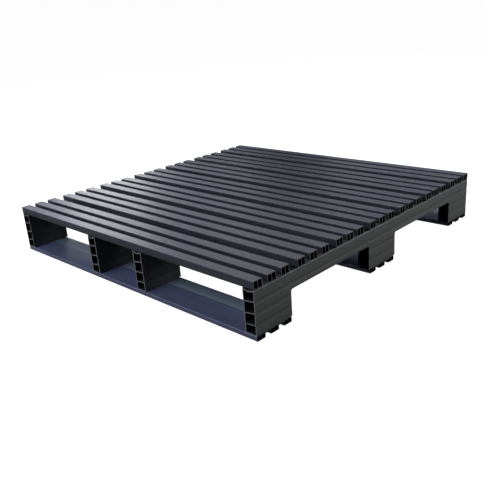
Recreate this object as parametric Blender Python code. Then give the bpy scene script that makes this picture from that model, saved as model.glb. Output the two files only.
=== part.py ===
"""Stringer pallet made of extruded plastic profiles, screwed together.

Seven hollow deck boards lie across four notched hollow stringers, and three
thinner boards with ribs of the same plan lie ribs-down under the stringers' feet.
X runs along the boards, Y along the stringers, Z up, in metres.
The origin is at the bottom centre of the pallet.
"""

from math import pi

import bmesh
import bpy
from mathutils import Matrix

# Overall size: a 48 x 48 inch pallet
PALLET_X = 1.2192
PALLET_Y = 1.2192

# Board profiles: three hollow ribs on a thin web, each rib with two cells
BOARD_WIDTH = 0.1429
DECK_THICK = 0.0254
BOTTOM_THICK = 0.0159
RIB_WIDTH = 0.0335
RIB_WALL = 0.0022
WEB_THICK = 0.0035
RIBS = 3
DECK_BOARDS = 7

# Stringer profile: four stacked cells, with a dip in the top wall
STRINGER_WIDTH = 0.0413
STRINGER_HEIGHT = 0.13335
STRINGER_WALL = 0.003
SHOULDER_THICK = 0.0048
DIP_DEPTH = 0.0065
DIP_SHARE = 0.45
RUNG_HEIGHTS = (0.0300, 0.0636, 0.0980)
RUNG_TILT = 0.004
INNER_LEFT_X = -0.1375
INNER_RIGHT_X = 0.1145

# Fork notches in each stringer
END_FOOT = 0.148
MIDDLE_FOOT = 0.158
NOTCH_HEIGHT = 0.0800
NOTCH_RADIUS = 0.008

# Pan-head screws, one at each crossing of a board and a stringer
SHANK_RADIUS = 0.0024
SHANK_LENGTH = 0.050
TIP_LENGTH = 0.006
HEAD_RADIUS = 0.0055
HEAD_HEIGHT = 0.003
HEAD_CROWN_RADIUS = 0.0038
HEAD_RIM_HEIGHT = 0.0014
SCREW_SIDES = 8
SHARP_ANGLE = 0.6

# Clearance between pieces that touch
GAP = 0.0003

# Worked out from the above
DECK_GAP = (PALLET_Y - DECK_BOARDS * BOARD_WIDTH) / (DECK_BOARDS - 1)
CHANNEL_WIDTH = (BOARD_WIDTH - RIBS * RIB_WIDTH) / (RIBS - 1)
RIB_PITCH = RIB_WIDTH + CHANNEL_WIDTH
CELL_WIDTH = (RIB_WIDTH - 3 * RIB_WALL) / 2
STRINGER_BOTTOM = BOTTOM_THICK + GAP
DECK_BOTTOM = STRINGER_BOTTOM + STRINGER_HEIGHT + GAP
OUTER_X = (PALLET_X - STRINGER_WIDTH) / 2
STRINGER_XS = (-OUTER_X, INNER_LEFT_X, INNER_RIGHT_X, OUTER_X)
END_BOARD_Y = (PALLET_Y - BOARD_WIDTH) / 2
NOTCH_LENGTH = (PALLET_Y - 2 * END_FOOT - MIDDLE_FOOT) / 2
NOTCH_CENTRE_Y = (MIDDLE_FOOT + NOTCH_LENGTH) / 2

# Turns that lay a profile, drawn in XY and run out along Z, along the pallet's X or Y
ALONG_X = Matrix(((0, 0, 1, 0), (1, 0, 0, 0), (0, 1, 0, 0), (0, 0, 0, 1)))
ALONG_Y = Matrix(((1, 0, 0, 0), (0, 0, -1, 0), (0, 1, 0, 0), (0, 0, 0, 1)))
UPRIGHT = (0.0, 0.0, 0.0)
UPSIDE_DOWN = (pi, 0.0, 0.0)


def clear_scene():
    for old in list(bpy.data.objects):
        bpy.data.objects.remove(old, do_unlink=True)


def make_material(name, colour, roughness, metallic=0.0):
    material = bpy.data.materials.new(name)
    material.use_nodes = True
    shader = material.node_tree.nodes["Principled BSDF"]
    shader.inputs["Base Color"].default_value = (*colour, 1.0)
    shader.inputs["Roughness"].default_value = roughness
    shader.inputs["Metallic"].default_value = metallic
    return material


def add_object(name, mesh, material, place, turn=UPRIGHT):
    if not mesh.materials:
        mesh.materials.append(material)
    made = bpy.data.objects.new(name, mesh)
    bpy.context.collection.objects.link(made)
    made.location = place
    made.rotation_euler = turn
    return made


def finished_mesh(bm, name):
    mesh = bpy.data.meshes.new(name)
    bm.to_mesh(mesh)
    bm.free()
    return mesh


def extruded(name, loops, length, turn):
    """A profile of closed loops in the XY plane, the first one outside, run out to a length."""
    bm = bmesh.new()
    edges = []
    for loop in loops:
        verts = [bm.verts.new((x, y, -length / 2)) for x, y in loop]
        edges += [bm.edges.new(pair) for pair in zip(verts, verts[1:] + verts[:1])]
    filled = bmesh.ops.triangle_fill(bm, use_beauty=True, edges=edges)
    faces = [item for item in filled["geom"] if isinstance(item, bmesh.types.BMFace)]
    run = bmesh.ops.extrude_face_region(bm, geom=faces, use_keep_orig=True)
    moved = [item for item in run["geom"] if isinstance(item, bmesh.types.BMVert)]
    bmesh.ops.translate(bm, verts=moved, vec=(0.0, 0.0, length))
    bmesh.ops.recalc_face_normals(bm, faces=bm.faces)
    bmesh.ops.transform(bm, matrix=turn, verts=bm.verts)
    return finished_mesh(bm, name)


def rectangle(x_low, x_high, y_low, y_high):
    return [(x_low, y_low), (x_high, y_low), (x_high, y_high), (x_low, y_high)]


def board_profile(thick):
    """The outline of three ribs on a web, then two cells in each rib.

    X runs across the board and Y up from its flat face.
    """
    outline = [(-BOARD_WIDTH / 2, 0.0), (BOARD_WIDTH / 2, 0.0)]
    cells = []
    for number in reversed(range(RIBS)):
        left = -BOARD_WIDTH / 2 + number * RIB_PITCH
        right = left + RIB_WIDTH
        if number < RIBS - 1:
            outline.append((right, WEB_THICK))
        outline += [(right, thick), (left, thick)]
        if number > 0:
            outline.append((left, WEB_THICK))
        for side in range(2):
            cell_left = left + RIB_WALL + side * (CELL_WIDTH + RIB_WALL)
            cells.append(rectangle(cell_left, cell_left + CELL_WIDTH, RIB_WALL, thick - RIB_WALL))
    return [outline, *cells]


def stringer_profile():
    """The outline with its dipped top, then the four cells between sloping rungs.

    X runs across the stringer and Y up from its foot.
    """
    half = STRINGER_WIDTH / 2
    inner = half - STRINGER_WALL
    low_x = -half + DIP_SHARE * STRINGER_WIDTH
    top = STRINGER_HEIGHT
    outline = [(-half, 0.0), (half, 0.0), (half, top), (low_x, top - DIP_DEPTH), (-half, top)]
    cells = []
    left = right = STRINGER_WALL
    for rung in RUNG_HEIGHTS:
        under_left = rung - (RUNG_TILT + STRINGER_WALL) / 2
        under_right = under_left + RUNG_TILT
        cells.append([(-inner, left), (inner, right), (inner, under_right), (-inner, under_left)])
        left = under_left + STRINGER_WALL
        right = under_right + STRINGER_WALL
    shoulder = top - SHOULDER_THICK
    top_cell = [(-inner, left), (inner, right), (inner, shoulder)]
    top_cell += [(low_x, top - DIP_DEPTH - STRINGER_WALL), (-inner, shoulder)]
    return [outline, *cells, top_cell]


def notch_cutter():
    """A long bar with its two upper edges rounded, centred on the stringer's foot."""
    bm = bmesh.new()
    bmesh.ops.create_cube(bm, size=1.0)
    size = (2 * STRINGER_WIDTH, NOTCH_LENGTH, 2 * NOTCH_HEIGHT)
    bmesh.ops.scale(bm, verts=bm.verts, vec=size)
    upper = []
    for edge in bm.edges:
        ends = [vert.co for vert in edge.verts]
        if min(ends[0].z, ends[1].z) > 0 and ends[0].y == ends[1].y:
            upper.append(edge)
    bmesh.ops.bevel(bm, geom=upper, offset=NOTCH_RADIUS, segments=3, profile=0.5, affect="EDGES")
    return finished_mesh(bm, "notch_cutter")


def hole_cutter():
    """An upright rod a little wider than a screw's shank and longer than it both ways."""
    bm = bmesh.new()
    radius = SHANK_RADIUS + GAP
    bmesh.ops.create_cone(
        bm,
        cap_ends=True,
        segments=SCREW_SIDES,
        radius1=radius,
        radius2=radius,
        depth=2 * (SHANK_LENGTH + TIP_LENGTH),
    )
    return finished_mesh(bm, "hole_cutter")


def screw_mesh():
    """A pan head standing just clear of Z = 0, with its shank and point below."""
    bm = bmesh.new()
    outline = [
        (0.0, HEAD_HEIGHT),
        (HEAD_CROWN_RADIUS, HEAD_HEIGHT),
        (HEAD_RADIUS, HEAD_RIM_HEIGHT),
        (HEAD_RADIUS, GAP),
        (SHANK_RADIUS, GAP),
        (SHANK_RADIUS, TIP_LENGTH - SHANK_LENGTH),
        (0.0, -SHANK_LENGTH),
    ]
    verts = [bm.verts.new((x, 0.0, z)) for x, z in outline]
    edges = [bm.edges.new(pair) for pair in zip(verts, verts[1:])]
    bmesh.ops.spin(
        bm,
        geom=verts + edges,
        axis=(0.0, 0.0, 1.0),
        cent=(0.0, 0.0, 0.0),
        steps=SCREW_SIDES,
        angle=2 * pi,
        use_merge=True,
    )
    bmesh.ops.remove_doubles(bm, verts=bm.verts, dist=0.00001)
    bmesh.ops.recalc_face_normals(bm, faces=bm.faces)
    mesh = finished_mesh(bm, "screw")
    mesh.shade_smooth()
    mesh.set_sharp_from_angle(angle=SHARP_ANGLE)
    return mesh


def cut(target, cutter_mesh, place):
    cutter = bpy.data.objects.new("cutter", cutter_mesh)
    bpy.context.collection.objects.link(cutter)
    cutter.location = place
    cutter.hide_render = True
    cutter.display_type = "WIRE"
    boolean = target.modifiers.new("cut", "BOOLEAN")
    boolean.operation = "DIFFERENCE"
    boolean.solver = "EXACT"
    boolean.object = cutter


def screw_board(board, number, seat_z, turn, name):
    """Screws one board to every stringer, in its two channels by turns, on a zigzag."""
    for stringer_number, x in enumerate(STRINGER_XS, 1):
        side = 1 if (number + stringer_number) % 2 else -1
        place = (x, board.location.y + side * RIB_PITCH / 2, seat_z)
        cut(board, rod, place)
        cut(stringers[stringer_number - 1], rod, place)
        add_object(f"{name}_{number}_{stringer_number}", screw, screw_steel, place, turn)


clear_scene()
board_plastic = make_material("board_plastic", (0.040, 0.042, 0.050), 0.38)
stringer_plastic = make_material("stringer_plastic", (0.035, 0.036, 0.038), 0.5)
screw_steel = make_material("screw_steel", (0.06, 0.06, 0.065), 0.4, 1.0)

deck_mesh = extruded("deck_board", board_profile(DECK_THICK), PALLET_X, ALONG_X)
bottom_mesh = extruded("bottom_board", board_profile(BOTTOM_THICK), PALLET_X, ALONG_X)
stringer_mesh = extruded("stringer", stringer_profile(), PALLET_Y, ALONG_Y)
notch = notch_cutter()
rod = hole_cutter()
screw = screw_mesh()

stringers = []
for number, x in enumerate(STRINGER_XS, 1):
    place = (x, 0.0, STRINGER_BOTTOM)
    stringer = add_object(f"stringer_{number}", stringer_mesh, stringer_plastic, place)
    for centre_y in (-NOTCH_CENTRE_Y, NOTCH_CENTRE_Y):
        cut(stringer, notch, (x, centre_y, STRINGER_BOTTOM))
    stringers.append(stringer)

for number in range(1, DECK_BOARDS + 1):
    y = (number - 1) * (BOARD_WIDTH + DECK_GAP) - END_BOARD_Y
    board = add_object(f"deck_board_{number}", deck_mesh, board_plastic, (0.0, y, DECK_BOTTOM))
    screw_board(board, number, DECK_BOTTOM + WEB_THICK, UPRIGHT, "deck_screw")

for number, y in enumerate((-END_BOARD_Y, 0.0, END_BOARD_Y), 1):
    place = (0.0, y, BOTTOM_THICK)
    board = add_object(f"bottom_board_{number}", bottom_mesh, board_plastic, place, UPSIDE_DOWN)
    screw_board(board, number, BOTTOM_THICK - WEB_THICK, UPSIDE_DOWN, "bottom_screw")
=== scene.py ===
"""A black plastic stringer pallet: sawn lengths of hollow extruded profile, screwed together.

Lengths are in metres. X runs along the boards, Y along the stringers, Z up from the floor.
"""

from math import cos, exp, pi, radians, sin

import bmesh
import bpy
from mathutils import Matrix, Vector, noise


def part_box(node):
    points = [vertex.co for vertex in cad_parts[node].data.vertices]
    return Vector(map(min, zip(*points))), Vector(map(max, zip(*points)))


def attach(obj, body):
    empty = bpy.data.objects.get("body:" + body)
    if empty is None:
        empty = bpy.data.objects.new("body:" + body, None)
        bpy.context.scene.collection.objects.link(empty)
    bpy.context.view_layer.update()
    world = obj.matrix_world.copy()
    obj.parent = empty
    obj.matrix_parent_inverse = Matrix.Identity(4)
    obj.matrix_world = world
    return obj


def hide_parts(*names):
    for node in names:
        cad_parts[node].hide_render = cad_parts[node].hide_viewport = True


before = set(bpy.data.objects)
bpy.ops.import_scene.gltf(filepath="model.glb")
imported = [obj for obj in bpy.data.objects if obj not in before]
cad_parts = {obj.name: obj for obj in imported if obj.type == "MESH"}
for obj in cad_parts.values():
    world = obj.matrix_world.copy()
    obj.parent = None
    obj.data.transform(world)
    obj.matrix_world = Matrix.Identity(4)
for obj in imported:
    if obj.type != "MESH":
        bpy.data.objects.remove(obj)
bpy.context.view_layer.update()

# ---------------------------------------------------------------------------------------------
# Camera
# It stands off the pallet's front right corner at about kneeling height, and leans a little to
# one side. Its lens is a normal one, a little longer than the sensor is wide.
camera_data = bpy.data.cameras.new("camera")
camera_data.sensor_width = 36.0
camera_data.lens = 45.399
camera = bpy.data.objects.new("camera", camera_data)
camera.location = (1.6023, -1.6197, 0.8152)
camera.rotation_euler = [radians(angle) for angle in (69.371, 4.163, 43.702)]
bpy.context.collection.objects.link(camera)
bpy.context.scene.camera = camera
bpy.context.scene.view_settings.view_transform = "Standard"

# ---------------------------------------------------------------------------------------------
# Deck boards
# Seven boards of black recycled polyethylene, each extruded through one die as three hollow
# ribs on a thin web, then sawn to length. They lie across the stringers, ribs up.
DECK_BOARDS = 7
BOARD_WIDTH = 0.1429
DECK_THICK = 0.0254
RIB_WIDTH = 0.0335
RIB_WALL = 0.0022
WEB_THICK = 0.0035
CHANNEL_WIDTH = (BOARD_WIDTH - 3 * RIB_WIDTH) / 2
CELL_WIDTH = (RIB_WIDTH - 3 * RIB_WALL) / 2
RIB_EDGE_RADIUS = 0.0014
FLAT_EDGE_RADIUS = 0.0024
INNER_RADIUS = 0.0010
FACE_STEP = 0.0035
CELL_SINK = 0.00030
LENGTH_STEP = 0.050
BOW = 0.00022
WANDER_RATE = 3.0
WANDER_OFFSET = 7.31
TOLERANCE = 0.0001
WELD = 0.00001
# How squarely a face has to look along an axis to count as facing that way
FACING = 0.9
CORNER_SEGMENTS = 3
BOARD_HOLE_RADIUS = 0.0027
HOLE_SIDES = 16
SHARP_ANGLE = radians(38)


def linear(hex_colour):
    """An sRGB hex colour as linear red, green, blue and alpha."""
    channels = [int(hex_colour[at:at + 2], 16) / 255 for at in (1, 3, 5)]
    return (*[c / 12.92 if c <= 0.04045 else ((c + 0.055) / 1.055) ** 2.4 for c in channels], 1.0)


def add_node(tree, kind, settings=(), values=(), links=()):
    """Adds a node, with its settings, the values of its inputs, and what is linked into them."""
    made = tree.nodes.new(kind)
    for name, value in dict(settings).items():
        setattr(made, name, value)
    for name, value in dict(values).items():
        made.inputs[name].default_value = value
    for name, source in dict(links).items():
        tree.links.new(source, made.inputs[name])
    return made


def new_material(name):
    """An empty material, its node tree, and the Principled shader that it shows."""
    material = bpy.data.materials.new(name)
    material.use_nodes = True
    tree = material.node_tree
    return material, tree, tree.nodes["Principled BSDF"]


def extruded_polyethylene(name, dark, light, along, roughness):
    """Black polyethylene drawn through a die: a satin skin with flow streaks along its length.

    along is the axis that the profile was drawn along, 0 for X or 1 for Y.
    """
    material, tree, shader = new_material(name)
    place = add_node(tree, "ShaderNodeTexCoord").outputs["Object"]
    # Flow streaks some 5 mm apart and half a metre long
    streak_scale = [200.0, 200.0, 200.0]
    streak_scale[along] = 2.0
    drawn = add_node(
        tree, "ShaderNodeMapping", values={"Scale": streak_scale}, links={"Vector": place}
    )
    streaks = add_node(
        tree,
        "ShaderNodeTexNoise",
        values={"Scale": 1.0, "Detail": 3.0, "Roughness": 0.6},
        links={"Vector": drawn.outputs["Vector"]},
    )
    # Blotches of regrind some 80 mm across
    blotches = add_node(
        tree,
        "ShaderNodeTexNoise",
        values={"Scale": 12.0, "Detail": 2.0, "Roughness": 0.5},
        links={"Vector": place},
    )
    both = add_node(
        tree,
        "ShaderNodeMath",
        settings={"operation": "MULTIPLY_ADD"},
        values={1: 0.45},
        links={0: blotches.outputs["Fac"], 2: streaks.outputs["Fac"]},
    )
    tone = add_node(
        tree,
        "ShaderNodeMapRange",
        values={"From Min": 0.45, "From Max": 1.0},
        links={"Value": both.outputs["Value"]},
    )
    colour = add_node(
        tree,
        "ShaderNodeMix",
        settings={"data_type": "RGBA"},
        values={6: linear(dark), 7: linear(light)},
        links={0: tone.outputs["Result"]},
    )
    gloss = add_node(
        tree,
        "ShaderNodeMapRange",
        values={
            "From Min": 0.3,
            "From Max": 0.7,
            "To Min": roughness - 0.05,
            "To Max": roughness + 0.07,
        },
        links={"Value": streaks.outputs["Fac"]},
    )
    # Die lines about 1.6 mm apart and 0.02 mm deep
    line_scale = [620.0, 620.0, 620.0]
    line_scale[along] = 1.5
    lined = add_node(
        tree, "ShaderNodeMapping", values={"Scale": line_scale}, links={"Vector": place}
    )
    lines = add_node(
        tree,
        "ShaderNodeTexNoise",
        values={"Scale": 1.0, "Detail": 1.0},
        links={"Vector": lined.outputs["Vector"]},
    )
    relief = add_node(
        tree,
        "ShaderNodeBump",
        values={"Strength": 0.2, "Distance": 0.0001},
        links={"Height": lines.outputs["Fac"]},
    )
    shader.inputs["IOR"].default_value = 1.54
    tree.links.new(colour.outputs["Result"], shader.inputs["Base Color"])
    tree.links.new(gloss.outputs["Result"], shader.inputs["Roughness"])
    tree.links.new(relief.outputs["Normal"], shader.inputs["Normal"])
    return material


def rough_polyethylene(name, dark, light, specular):
    """Polyethylene left rough by a saw or a cutter: dull and scratched."""
    material, tree, shader = new_material(name)
    place = add_node(tree, "ShaderNodeTexCoord").outputs["Object"]
    # Scratches about 1.6 mm apart, slightly curved by the blade
    scratches = add_node(
        tree,
        "ShaderNodeTexWave",
        settings={"bands_direction": "DIAGONAL"},
        values={"Scale": 220.0, "Distortion": 3.0, "Detail": 2.0, "Detail Scale": 0.4},
        links={"Vector": place},
    )
    grain = add_node(
        tree,
        "ShaderNodeTexNoise",
        values={"Scale": 900.0, "Detail": 2.0},
        links={"Vector": place},
    )
    tone = add_node(
        tree,
        "ShaderNodeMath",
        settings={"operation": "MULTIPLY"},
        links={0: scratches.outputs["Fac"], 1: grain.outputs["Fac"]},
    )
    colour = add_node(
        tree,
        "ShaderNodeMix",
        settings={"data_type": "RGBA"},
        values={6: linear(dark), 7: linear(light)},
        links={0: tone.outputs["Value"]},
    )
    relief = add_node(
        tree,
        "ShaderNodeBump",
        values={"Strength": 0.5, "Distance": 0.0002},
        links={"Height": tone.outputs["Value"]},
    )
    shader.inputs["IOR"].default_value = 1.54
    shader.inputs["Roughness"].default_value = 0.62
    shader.inputs["Specular IOR Level"].default_value = specular
    tree.links.new(colour.outputs["Result"], shader.inputs["Base Color"])
    tree.links.new(relief.outputs["Normal"], shader.inputs["Normal"])
    return material


def rectangle(x_low, x_high, y_low, y_high):
    return [(x_low, y_low), (x_high, y_low), (x_high, y_high), (x_low, y_high)]


def die_drawing(outline, cells):
    """The die's opening as wires in the XY plane: the outline and the cells, corners rounded.

    Each corner of the outline is x, y and the radius it is rounded to.
    """
    bm = bmesh.new()
    corners = [(bm.verts.new((x, y, 0)), radius) for x, y, radius in outline]
    bm.faces.new([vert for vert, radius in corners])
    for cell in cells:
        face = bm.faces.new([bm.verts.new((x, y, 0)) for x, y in cell])
        corners += [(vert, INNER_RADIUS) for vert in face.verts]
    for vert, radius in corners:
        bmesh.ops.bevel(
            bm,
            geom=[vert],
            offset=radius,
            segments=CORNER_SEGMENTS,
            profile=0.5,
            affect="VERTICES",
            material=-1,
        )
    bmesh.ops.delete(bm, geom=bm.faces[:], context="FACES_ONLY")
    return bm


def split_long_edges(bm, step):
    """Divides the drawing's straight runs, so that a face can hollow or swell between its ends."""
    for edge in [edge for edge in bm.edges if edge.calc_length() > 2 * step]:
        cuts = int(edge.calc_length() / step)
        bmesh.ops.subdivide_edges(bm, edges=[edge], cuts=cuts)


def lies_in(cell, face):
    """Whether a face is one of the walls of a cell, looking into it."""
    middle = face.calc_center_median()
    centre = sum((Vector((x, y, 0)) for x, y in cell), Vector()) / len(cell)
    within = all(
        min(corner[axis] for corner in cell) - TOLERANCE < middle[axis]
        < max(corner[axis] for corner in cell) + TOLERANCE
        for axis in (0, 1)
    )
    return within and face.normal.dot(centre - middle.xy.to_3d()) > 0


def draw_out(bm, length, cells):
    """Fills the drawing between its wires and runs it out along Z, in steps.

    Its materials are in the order skin, sawn end, cell wall.
    """
    filled = bmesh.ops.triangle_fill(bm, use_beauty=True, edges=bm.edges[:])
    faces = [item for item in filled["geom"] if isinstance(item, bmesh.types.BMFace)]
    run = bmesh.ops.extrude_face_region(bm, geom=faces, use_keep_orig=True)
    moved = [item for item in run["geom"] if isinstance(item, bmesh.types.BMVert)]
    bmesh.ops.translate(bm, verts=moved, vec=(0, 0, length))
    bmesh.ops.recalc_face_normals(bm, faces=bm.faces[:])
    for face in bm.faces:
        face.smooth = True
        if abs(face.normal.z) > FACING:
            face.material_index = 1
        elif any(lies_in(cell, face) for cell in cells):
            face.material_index = 2
    lengthwise = []
    for edge in bm.edges:
        near, far = (vert.co for vert in edge.verts)
        if abs(near.z - far.z) > length / 2:
            lengthwise.append(edge)
    bmesh.ops.subdivide_edges(
        bm, edges=lengthwise, cuts=int(length / LENGTH_STEP), use_grid_fill=True
    )
    bmesh.ops.translate(bm, verts=bm.verts[:], vec=(0, 0, -length / 2))


def finished_piece(bm, name, materials):
    """The mesh as an object that moves with the pallet."""
    mesh = bpy.data.meshes.new(name)
    bm.to_mesh(mesh)
    bm.free()
    for material in materials:
        mesh.materials.append(material)
    piece = bpy.data.objects.new(name, mesh)
    bpy.context.collection.objects.link(piece)
    mesh.set_sharp_from_angle(angle=SHARP_ANGLE)
    weighted = piece.modifiers.new("weighted_normals", "WEIGHTED_NORMAL")
    weighted.keep_sharp = True
    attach(piece, "root")
    return piece


def cut_away(bm, cutters, materials):
    """Cuts the cutters' shapes out of the mesh, and gives it back as a bmesh."""
    mesh = bpy.data.meshes.new("uncut")
    bm.to_mesh(mesh)
    bm.free()
    for material in materials:
        mesh.materials.append(material)
    uncut = bpy.data.objects.new("uncut", mesh)
    bpy.context.collection.objects.link(uncut)
    for cutter in cutters:
        boolean = uncut.modifiers.new("cut", "BOOLEAN")
        boolean.operation = "DIFFERENCE"
        boolean.solver = "EXACT"
        boolean.material_mode = "TRANSFER"
        boolean.object = cutter
    bpy.context.view_layer.update()
    cut = uncut.evaluated_get(bpy.context.evaluated_depsgraph_get()).to_mesh()
    made = bmesh.new()
    made.from_mesh(cut)
    uncut.evaluated_get(bpy.context.evaluated_depsgraph_get()).to_mesh_clear()
    for helper in (uncut, *cutters):
        bpy.data.objects.remove(helper, do_unlink=True)
    return made


def screw_holes(which, radius, material):
    """A cutter of rods, one along each screw that which() picks by its node's name."""
    bm = bmesh.new()
    for node in sorted(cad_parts):
        if "screw" not in node or not which(node.split("_")):
            continue
        low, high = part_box(node)
        bmesh.ops.create_cone(
            bm,
            cap_ends=True,
            segments=HOLE_SIDES,
            radius1=radius,
            radius2=radius,
            depth=high[2] - low[2],
            matrix=Matrix.Translation([(a + b) / 2 for a, b in zip(low, high)]),
        )
    mesh = bpy.data.meshes.new("hole_cutter")
    bm.to_mesh(mesh)
    bm.free()
    mesh.materials.append(material)
    cutter = bpy.data.objects.new("hole_cutter", mesh)
    bpy.context.collection.objects.link(cutter)
    return cutter


def board_drawing(thick, rib_radius):
    """The outline of three ribs on a web and two cells in each rib, flat face at the bottom."""
    half = BOARD_WIDTH / 2
    outline = [(-half, 0, FLAT_EDGE_RADIUS), (half, 0, FLAT_EDGE_RADIUS)]
    cells = []
    for number in (2, 1, 0):
        left = -half + number * (RIB_WIDTH + CHANNEL_WIDTH)
        right = left + RIB_WIDTH
        if number < 2:
            outline.append((right, WEB_THICK, INNER_RADIUS))
        outline += [(right, thick, rib_radius), (left, thick, rib_radius)]
        if number > 0:
            outline.append((left, WEB_THICK, INNER_RADIUS))
        for side in (0, 1):
            cell_left = left + RIB_WALL + side * (CELL_WIDTH + RIB_WALL)
            cells.append(rectangle(cell_left, cell_left + CELL_WIDTH, RIB_WALL, thick - RIB_WALL))
    return die_drawing(outline, cells), cells


def sink_rib_tops(bm, thick):
    """Cooling draws the top wall down a little over each cell."""
    for vert in bm.verts:
        if vert.co.y < thick - RIB_WALL / 4:
            continue
        across = (vert.co.x + BOARD_WIDTH / 2) % (RIB_WIDTH + CHANNEL_WIDTH)
        over_cell = sin(2 * pi * across / RIB_WIDTH) ** 2 if across < RIB_WIDTH else 0
        vert.co.y -= CELL_SINK * over_cell


def bow_lengthwise(bm, seed):
    """A slow wander of the whole board, always down from its top face."""
    for vert in bm.verts:
        wander = 0.5 + 0.5 * noise.noise(
            Vector((vert.co.z * WANDER_RATE, seed * WANDER_OFFSET, 0.0))
        )
        vert.co.y -= BOW * wander


# The board's drawing turned to lie along X, its flat face down
LIE_ALONG_X = Matrix(((0, 0, 1, 0), (1, 0, 0, 0), (0, 1, 0, 0), (0, 0, 0, 1)))

deck_skin = extruded_polyethylene("extruded_polyethylene_deck", "#1c1d23", "#272930", 0, 0.34)
deck_sawn = rough_polyethylene("sawn_polyethylene_deck", "#1c1c1e", "#36373a", 0.4)
# The cells' walls never touched the polished part of the die, so they are dull; their very dark
# colour is painted shade inside the hollow cells
cell_painted_shade = rough_polyethylene("dull_polyethylene_cell_painted_shade", "#070708", "#101011", 0.15)

for number in range(1, DECK_BOARDS + 1):
    name = f"deck_board_{number}"
    low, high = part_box(name)
    bm, cells = board_drawing(DECK_THICK, RIB_EDGE_RADIUS)
    split_long_edges(bm, FACE_STEP)
    sink_rib_tops(bm, DECK_THICK)
    draw_out(bm, high[0] - low[0], cells)
    bow_lengthwise(bm, number)
    bmesh.ops.transform(bm, matrix=LIE_ALONG_X, verts=bm.verts[:])
    bmesh.ops.translate(bm, verts=bm.verts[:], vec=(0, (low[1] + high[1]) / 2, low[2]))
    plastics = (deck_skin, deck_sawn, cell_painted_shade)
    holes = screw_holes(
        lambda words: words[:3] == ["deck", "screw", str(number)], BOARD_HOLE_RADIUS, deck_sawn
    )
    bm = cut_away(bm, [holes], plastics)
    board = finished_piece(bm, f"ribbed_deck_board_{number}", plastics)
    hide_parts(name)

# ---------------------------------------------------------------------------------------------
# Stringers
# Four beams of the same plastic, drawn as a ladder of four cells with a dip in the top wall.
# Two fork notches with rounded upper corners are milled out of each foot.
STRINGERS = 4
STRINGER_WIDTH = 0.0413
STRINGER_HEIGHT = 0.13335
STRINGER_WALL = 0.003
SHOULDER_THICK = 0.0048
DIP_DEPTH = 0.0065
DIP_SHARE = 0.45
RUNG_HEIGHTS = (0.0300, 0.0636, 0.0980)
RUNG_TILT = 0.004
END_FOOT = 0.148
MIDDLE_FOOT = 0.158
NOTCH_HEIGHT = 0.0800
NOTCH_RADIUS = 0.008
NOTCH_SEGMENTS = 8
NOTCH_EASE = 0.0016
PILOT_RADIUS = 0.0017
EDGE_RADIUS = 0.0012
OUTER_TOP_RADIUS = 0.0025
DIP_RADIUS = 0.0008
RUNG_SINK = 0.0006
RUNG_SINK_REACH = 0.005


def stringer_drawing():
    """The outline with its dipped top, and the four cells between sloping rungs, foot down."""
    half = STRINGER_WIDTH / 2
    inner = half - STRINGER_WALL
    low_x = -half + DIP_SHARE * STRINGER_WIDTH
    top = STRINGER_HEIGHT
    outline = [(-half, 0, EDGE_RADIUS), (half, 0, EDGE_RADIUS), (half, top, OUTER_TOP_RADIUS)]
    outline += [(low_x, top - DIP_DEPTH, DIP_RADIUS), (-half, top, EDGE_RADIUS)]
    cells = []
    left = right = STRINGER_WALL
    for rung in RUNG_HEIGHTS:
        under_left = rung - (RUNG_TILT + STRINGER_WALL) / 2
        under_right = under_left + RUNG_TILT
        cells.append([(-inner, left), (inner, right), (inner, under_right), (-inner, under_left)])
        left = under_left + STRINGER_WALL
        right = under_right + STRINGER_WALL
    shoulder = top - SHOULDER_THICK
    top_cell = [(-inner, left), (inner, right), (inner, shoulder)]
    top_cell += [(low_x, top - DIP_DEPTH - STRINGER_WALL), (-inner, shoulder)]
    cells.append(top_cell)
    return die_drawing(outline, cells), cells


def sink_sides(bm):
    """The side walls sink in where a rung joins them, and bulge a hair between."""
    half = STRINGER_WIDTH / 2
    for vert in bm.verts:
        if abs(vert.co.x) < half - TOLERANCE:
            continue
        sink = sum(exp(-((vert.co.y - rung) / RUNG_SINK_REACH) ** 2) for rung in RUNG_HEIGHTS)
        vert.co.x *= 1 - RUNG_SINK * sink / half


def notch_cutter(x, y, z, material):
    """A bar across the stringer, its two upper edges rounded and its ends flared."""
    bm = bmesh.new()
    bmesh.ops.create_cube(bm, size=1.0)
    length = (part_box("stringer_1")[1][1] * 2 - 2 * END_FOOT - MIDDLE_FOOT) / 2
    bmesh.ops.scale(bm, verts=bm.verts[:], vec=(2 * STRINGER_WIDTH, length, 2 * NOTCH_HEIGHT))
    upper = []
    for edge in bm.edges:
        first, second = (vert.co for vert in edge.verts)
        if min(first.z, second.z) > 0 and first.y == second.y:
            upper.append(edge)
    bmesh.ops.bevel(
        bm,
        geom=upper,
        offset=NOTCH_RADIUS,
        segments=NOTCH_SEGMENTS,
        profile=0.5,
        affect="EDGES",
        material=-1,
    )
    for side in (-1, 1):
        for depth in (NOTCH_EASE, 0):
            bmesh.ops.bisect_plane(
                bm,
                geom=bm.verts[:] + bm.edges[:] + bm.faces[:],
                dist=WELD,
                plane_co=(side * (STRINGER_WIDTH / 2 - depth), 0, 0),
                plane_no=(1, 0, 0),
            )
    outer = [vert for vert in bm.verts if abs(vert.co.x) > (STRINGER_WIDTH - NOTCH_EASE) / 2]
    bmesh.ops.scale(
        bm, verts=outer, vec=(1, 1 + 2 * NOTCH_EASE / length, 1 + NOTCH_EASE / NOTCH_HEIGHT)
    )
    bmesh.ops.translate(bm, verts=bm.verts[:], vec=(x, y, z))
    mesh = bpy.data.meshes.new("notch_cutter")
    bm.to_mesh(mesh)
    bm.free()
    mesh.materials.append(material)
    cutter = bpy.data.objects.new("notch_cutter", mesh)
    bpy.context.collection.objects.link(cutter)
    return cutter


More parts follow.
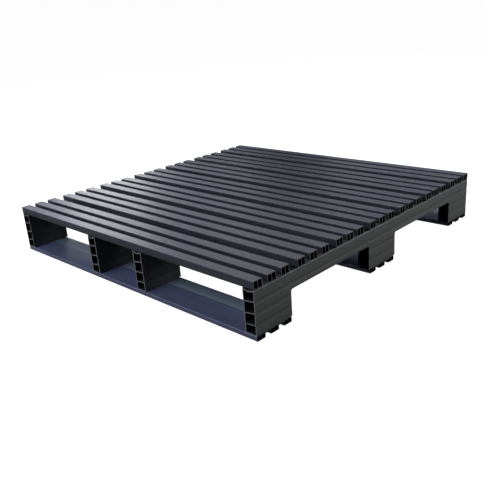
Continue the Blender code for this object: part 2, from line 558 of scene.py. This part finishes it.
# The stringer's drawing turned to lie along Y, its foot down
LIE_ALONG_Y = Matrix(((1, 0, 0, 0), (0, 0, -1, 0), (0, 1, 0, 0), (0, 0, 0, 1)))

stringer_skin = extruded_polyethylene(
    "extruded_polyethylene_stringer", "#1d1e1d", "#272827", 1, 0.48
)
stringer_sawn = rough_polyethylene("sawn_polyethylene_stringer", "#3c3d3e", "#747575", 0.5)
# The cutter leaves the notches furry; their near-black colour is painted shade under the stringer's
# bar, inside the notches
notch_painted_shade = rough_polyethylene("milled_polyethylene_notch_painted_shade", "#080808", "#121212", 0.1)

for number in range(1, STRINGERS + 1):
    name = f"stringer_{number}"
    low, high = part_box(name)
    centre_x = (low[0] + high[0]) / 2
    bm, cells = stringer_drawing()
    split_long_edges(bm, FACE_STEP)
    sink_sides(bm)
    draw_out(bm, high[1] - low[1], cells)
    bmesh.ops.transform(bm, matrix=LIE_ALONG_Y, verts=bm.verts[:])
    bmesh.ops.translate(bm, verts=bm.verts[:], vec=(centre_x, 0, low[2]))
    notch_y = (high[1] - END_FOOT + MIDDLE_FOOT / 2) / 2
    cutters = [notch_cutter(centre_x, y, low[2], notch_painted_shade) for y in (-notch_y, notch_y)]
    # The screws cut their own thread in holes drilled to their core
    cutters.append(
        screw_holes(lambda words: words[3] == str(number), PILOT_RADIUS, stringer_sawn)
    )
    plastics = (stringer_skin, stringer_sawn, cell_painted_shade, notch_painted_shade)
    bm = cut_away(bm, cutters, plastics)
    stringer = finished_piece(bm, f"notched_stringer_{number}", plastics)
    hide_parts(name)

# ---------------------------------------------------------------------------------------------
# Bottom boards
# Three thinner boards with ribs of the same plan as the deck's, ribs down, screwed up into the
# stringers' feet. Their flat side has a crease over one rib wall, and a rolled rear edge.
BOTTOM_BOARDS = 3
BOTTOM_THICK = 0.0159
PAD_EDGE_RADIUS = 0.0030
CREASE_Y = 0.0168
CREASE_DEPTH = 0.0020
CREASE_REACH = 0.0026
REAR_ROLL = 0.012
REAR_DROP = 0.0030

# The bottom boards' skin is a lighter, bluer copy of the same black plastic: painted light, for the
# bluish light on their upper faces
bottom_skin_painted_light = extruded_polyethylene("extruded_polyethylene_bottom_painted_light", "#2d3146", "#3a3f57", 0, 0.52)
# The strip behind the crease is painted paler and greenish, as light falling on it
strip_painted_light = extruded_polyethylene("polyethylene_strip_painted_light", "#465059", "#525d68", 0, 0.55)
# The ends are painted near black, as shade low down by the floor
bottom_sawn_painted_shade = rough_polyethylene("sawn_polyethylene_bottom_painted_shade", "#0b0b0d", "#1a1a1d", 0.15)


def shape_flat_side(bm):
    """Presses in the crease, slopes the strip behind it back up and rolls the rear edge away."""
    lip_start = BOARD_WIDTH / 2 - REAR_ROLL
    for vert in bm.verts:
        if vert.co.y > RIB_WALL / 2:
            continue
        behind = vert.co.x - CREASE_Y
        if behind > 0:
            up_strip = min(1.0, behind / (lip_start - CREASE_Y))
            vert.co.y += CREASE_DEPTH * (1 - up_strip)
            vert.co.y += REAR_DROP * max(0.0, (vert.co.x - lip_start) / REAR_ROLL) ** 2
        else:
            vert.co.y += CREASE_DEPTH * exp(-(behind / CREASE_REACH) ** 2)


def paint_strip_light(bm):
    """Gives the flat side behind the crease its own paler colour, painted light, as the fourth
    material.
    """
    for face in bm.faces:
        middle = face.calc_center_median()
        on_strip = CREASE_Y + CREASE_REACH / 2 < middle.x < BOARD_WIDTH / 2 - REAR_ROLL / 2
        if face.material_index == 0 and on_strip and middle.y < RIB_WALL and face.normal.y < -FACING:
            face.material_index = 3


for number in range(1, BOTTOM_BOARDS + 1):
    name = f"bottom_board_{number}"
    low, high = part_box(name)
    bm, cells = board_drawing(BOTTOM_THICK, PAD_EDGE_RADIUS)
    split_long_edges(bm, FACE_STEP / 2)
    sink_rib_tops(bm, BOTTOM_THICK)
    shape_flat_side(bm)
    draw_out(bm, high[0] - low[0], cells)
    paint_strip_light(bm)
    bmesh.ops.transform(bm, matrix=LIE_ALONG_X, verts=bm.verts[:])
    bmesh.ops.scale(bm, verts=bm.verts[:], vec=(1, 1, -1))
    bmesh.ops.recalc_face_normals(bm, faces=bm.faces[:])
    bmesh.ops.translate(bm, verts=bm.verts[:], vec=(0, (low[1] + high[1]) / 2, high[2]))
    plastics = (bottom_skin_painted_light, bottom_sawn_painted_shade, cell_painted_shade, strip_painted_light)
    holes = screw_holes(
        lambda words: words[:3] == ["bottom", "screw", str(number)], BOARD_HOLE_RADIUS, bottom_sawn_painted_shade
    )
    bm = cut_away(bm, [holes], plastics)
    board = finished_piece(bm, f"ribbed_bottom_board_{number}", plastics)
    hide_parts(name)

# ---------------------------------------------------------------------------------------------
# Screws
# Black-oxide steel screws with a cross recess and a coarse thread, one at each crossing, driven
# through the boards' webs so that the pan heads sit low in the channels between ribs.
HEAD_RADIUS = 0.0055
HEAD_HEIGHT = 0.0030
HEAD_RIM_SHARE = 0.45
CORE_RADIUS = 0.0017
THREAD_RADIUS = 0.0024
THREAD_PITCH = 0.0022
THREAD_STEPS = 10
THREAD_SINK = 0.0001
SHANK_LENGTH = 0.050
PLAIN_LENGTH = 0.006
TIP_LENGTH = 0.006
RECESS_LENGTH = 0.0062
RECESS_WIDTH = 0.0013
RECESS_DEPTH = 0.0018
RECESS_TAPER = (0.4, 0.6, 1)
SCREW_STEPS = 20

# Black oxide is a thin dark skin on steel: it reads as a dull dark metal, mottled by its oil
screw_finish, tree, shader = new_material("black_oxide_steel")
place = add_node(tree, "ShaderNodeTexCoord").outputs["Object"]
mottle = add_node(tree, "ShaderNodeTexNoise", values={"Scale": 700.0}, links={"Vector": place})
colour = add_node(
    tree,
    "ShaderNodeMix",
    settings={"data_type": "RGBA"},
    values={6: linear("#2a2a2c"), 7: linear("#3d3d40")},
    links={0: mottle.outputs["Fac"]},
)
tree.links.new(colour.outputs["Result"], shader.inputs["Base Color"])
shader.inputs["Metallic"].default_value = 0.8
shader.inputs["Roughness"].default_value = 0.45


def turned(bm, outline):
    """Turns an outline of radius and height about Z into a closed solid."""
    verts = [bm.verts.new((radius, 0, z)) for radius, z in outline]
    edges = [bm.edges.new(pair) for pair in zip(verts, verts[1:])]
    bmesh.ops.spin(
        bm,
        geom=verts + edges,
        axis=(0, 0, 1),
        cent=(0, 0, 0),
        steps=SCREW_STEPS,
        angle=2 * pi,
        use_merge=True,
    )
    bmesh.ops.remove_doubles(bm, verts=bm.verts[:], dist=WELD)
    bmesh.ops.recalc_face_normals(bm, faces=bm.faces[:])


def cross_recess(screw_material):
    """Two crossed bars, narrower at the bottom, that stand in the top of the head."""
    cutters = []
    for turn in (0, pi / 2):
        bm = bmesh.new()
        bmesh.ops.create_cube(bm, size=1.0)
        bmesh.ops.scale(
            bm, verts=bm.verts[:], vec=(RECESS_LENGTH, RECESS_WIDTH, 2 * RECESS_DEPTH)
        )
        bottom = [vert for vert in bm.verts if vert.co.z < 0]
        bmesh.ops.scale(bm, verts=bottom, vec=RECESS_TAPER)
        bmesh.ops.rotate(bm, verts=bm.verts[:], matrix=Matrix.Rotation(turn, 3, "Z"))
        bmesh.ops.translate(bm, verts=bm.verts[:], vec=(0, 0, HEAD_HEIGHT))
        mesh = bpy.data.meshes.new("cross_cutter")
        bm.to_mesh(mesh)
        bm.free()
        mesh.materials.append(screw_material)
        cutter = bpy.data.objects.new("cross_cutter", mesh)
        bpy.context.collection.objects.link(cutter)
        cutters.append(cutter)
    return cutters


def wind_thread(bm):
    """A ridge of triangular section wound up the shank, its ends closed."""
    turns = int((SHANK_LENGTH - PLAIN_LENGTH - TIP_LENGTH) / THREAD_PITCH)
    start = TIP_LENGTH - SHANK_LENGTH
    foot = CORE_RADIUS - THREAD_SINK
    section = ((foot, -THREAD_PITCH / 4), (THREAD_RADIUS, 0), (foot, THREAD_PITCH / 4))
    verts = [bm.verts.new((radius, 0, start + z)) for radius, z in section]
    first = bm.faces.new(verts)
    bmesh.ops.spin(
        bm,
        geom=[first],
        axis=(0, 0, 1),
        cent=(0, 0, 0),
        dvec=(0, 0, THREAD_PITCH / THREAD_STEPS),
        steps=turns * THREAD_STEPS,
        angle=2 * pi * turns,
    )


bm = bmesh.new()
outline = [(0, HEAD_HEIGHT)]
outline += [
    (HEAD_RADIUS * sin(angle), HEAD_HEIGHT * (HEAD_RIM_SHARE + (1 - HEAD_RIM_SHARE) * cos(angle)))
    for angle in (pi / 8, pi / 4, 3 * pi / 8, pi / 2)
]
outline += [(HEAD_RADIUS, 0), (CORE_RADIUS, 0), (CORE_RADIUS, TIP_LENGTH - SHANK_LENGTH)]
outline += [(0, -SHANK_LENGTH)]
turned(bm, outline)
bm = cut_away(bm, cross_recess(screw_finish), [screw_finish])
wind_thread(bm)
bmesh.ops.recalc_face_normals(bm, faces=bm.faces[:])
for face in bm.faces:
    face.smooth = True
screw_mesh = bpy.data.meshes.new("pan_head_screw")
bm.to_mesh(screw_mesh)
bm.free()
screw_mesh.materials.append(screw_finish)
screw_mesh.set_sharp_from_angle(angle=SHARP_ANGLE)

for node_name in sorted(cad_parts):
    if "screw" not in node_name:
        continue
    low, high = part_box(node_name)
    mesh = screw_mesh.copy()
    upright = node_name.startswith("deck")
    turn = Matrix.Rotation(0 if upright else pi, 4, "X")
    seat = high[2] - HEAD_HEIGHT if upright else low[2] + HEAD_HEIGHT
    place = Matrix.Translation(((low[0] + high[0]) / 2, (low[1] + high[1]) / 2, seat))
    mesh.transform(place @ turn)
    screw = bpy.data.objects.new(f"pan_head_{node_name}", mesh)
    bpy.context.collection.objects.link(screw)
    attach(screw, "root")
    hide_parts(node_name)

# ---------------------------------------------------------------------------------------------
# Studio
# A white floor and surround that glow in front of the lens but throw almost no light, and soft
# lamps all round, so that the pallet's lower edges and hollows stay dark.
FLOOR_RADIUS = 60
FLOOR_SIDES = 64
FLOOR_DROP = 0.0005
LAMP_DISTANCE = 4.0
SURROUND_LIGHT = 0.01
SEEN_WHITE = 0.98

floor_finish, tree, shader = new_material("white_studio_floor")
shader.inputs["Base Color"].default_value = linear("#303030")
shader.inputs["Roughness"].default_value = 0.9
glow = add_node(tree, "ShaderNodeEmission", values={"Strength": SEEN_WHITE})
glow.inputs["Color"].default_value = linear("#ffffff")
paper = add_node(tree, "ShaderNodeBsdfDiffuse", values={"Color": linear("#8c8c8c")})
seen = add_node(tree, "ShaderNodeAddShader", links={0: glow.outputs[0], 1: paper.outputs[0]})
first_ray = add_node(tree, "ShaderNodeLightPath").outputs["Is Camera Ray"]
either = add_node(
    tree,
    "ShaderNodeMixShader",
    links={0: first_ray, 1: shader.outputs["BSDF"], 2: seen.outputs["Shader"]},
)
tree.links.new(either.outputs["Shader"], tree.nodes["Material Output"].inputs["Surface"])
bm = bmesh.new()
bmesh.ops.create_circle(bm, cap_ends=True, segments=FLOOR_SIDES, radius=FLOOR_RADIUS)
floor_mesh = bpy.data.meshes.new("floor")
bm.to_mesh(floor_mesh)
bm.free()
floor_mesh.materials.append(floor_finish)
floor = bpy.data.objects.new("floor", floor_mesh)
floor.location = (0, 0, -FLOOR_DROP)
bpy.context.collection.objects.link(floor)

world = bpy.data.worlds.new("studio")
bpy.context.scene.world = world
world.use_nodes = True
tree = world.node_tree
first_ray = add_node(tree, "ShaderNodeLightPath").outputs["Is Camera Ray"]
strength = add_node(
    tree,
    "ShaderNodeMapRange",
    values={"To Min": SURROUND_LIGHT, "To Max": SEEN_WHITE},
    links={"Value": first_ray},
)
tree.nodes["Background"].inputs["Color"].default_value = linear("#ffffff")
tree.links.new(strength.outputs["Result"], tree.nodes["Background"].inputs["Strength"])


def soft_lamp(name, azimuth, elevation, width, power, colour):
    """A square lamp turned to the pallet's middle, and not itself seen by the lens."""
    turn, rise = radians(azimuth), radians(elevation)
    way = Vector((cos(turn) * cos(rise), sin(turn) * cos(rise), sin(rise)))
    lamp_data = bpy.data.lights.new(name, "AREA")
    lamp_data.shape = "SQUARE"
    lamp_data.size = width
    lamp_data.energy = power
    lamp_data.color = linear(colour)[:3]
    lamp = bpy.data.objects.new(name, lamp_data)
    lamp.location = way * LAMP_DISTANCE
    lamp.rotation_euler = way.to_track_quat("Z", "Y").to_euler()
    lamp.visible_camera = False
    bpy.context.collection.objects.link(lamp)


# Each lamp's azimuth, from +X towards +Y, its elevation, its width, power and colour
SKY = "#e9efff"
NEUTRAL = "#ffffff"
for name, azimuth, elevation, width, power, colour in (
    ("lamp_front_high", 269, 35, 1.6, 96, SKY),
    ("lamp_front_low", 246, 14, 1.6, 52, NEUTRAL),
    ("lamp_front_top", 240, 60, 1.6, 62, SKY),
    ("lamp_right_low", 5, 12, 1.6, 66, NEUTRAL),
    ("lamp_right_back_low", 40, 14, 1.6, 76, NEUTRAL),
    ("lamp_back_low", 80, 14, 1.6, 15, SKY),
    ("lamp_back_high", 60, 60, 1.6, 96, SKY),
    ("lamp_back_left_high", 120, 60, 1.6, 34, SKY),
    ("lamp_left_high", 170, 35, 1.6, 45, SKY),
    ("lamp_sheen", 155, 12, 0.8, 8.5, NEUTRAL),
    ("lamp_sheen_beside", 150, 12, 0.8, 2, SKY),
    ("lamp_sheen_mid", 140, 20, 1.0, 2.3, SKY),
    ("lamp_sheen_high", 130, 35, 1.6, 5.2, NEUTRAL),
    ("lamp_sheen_right", 110, 14, 1.6, 4.2, SKY),
    ("lamp_sheen_front", 205, 6, 0.8, 16, NEUTRAL),
):
    soft_lamp(name, azimuth, elevation, width, power, colour)
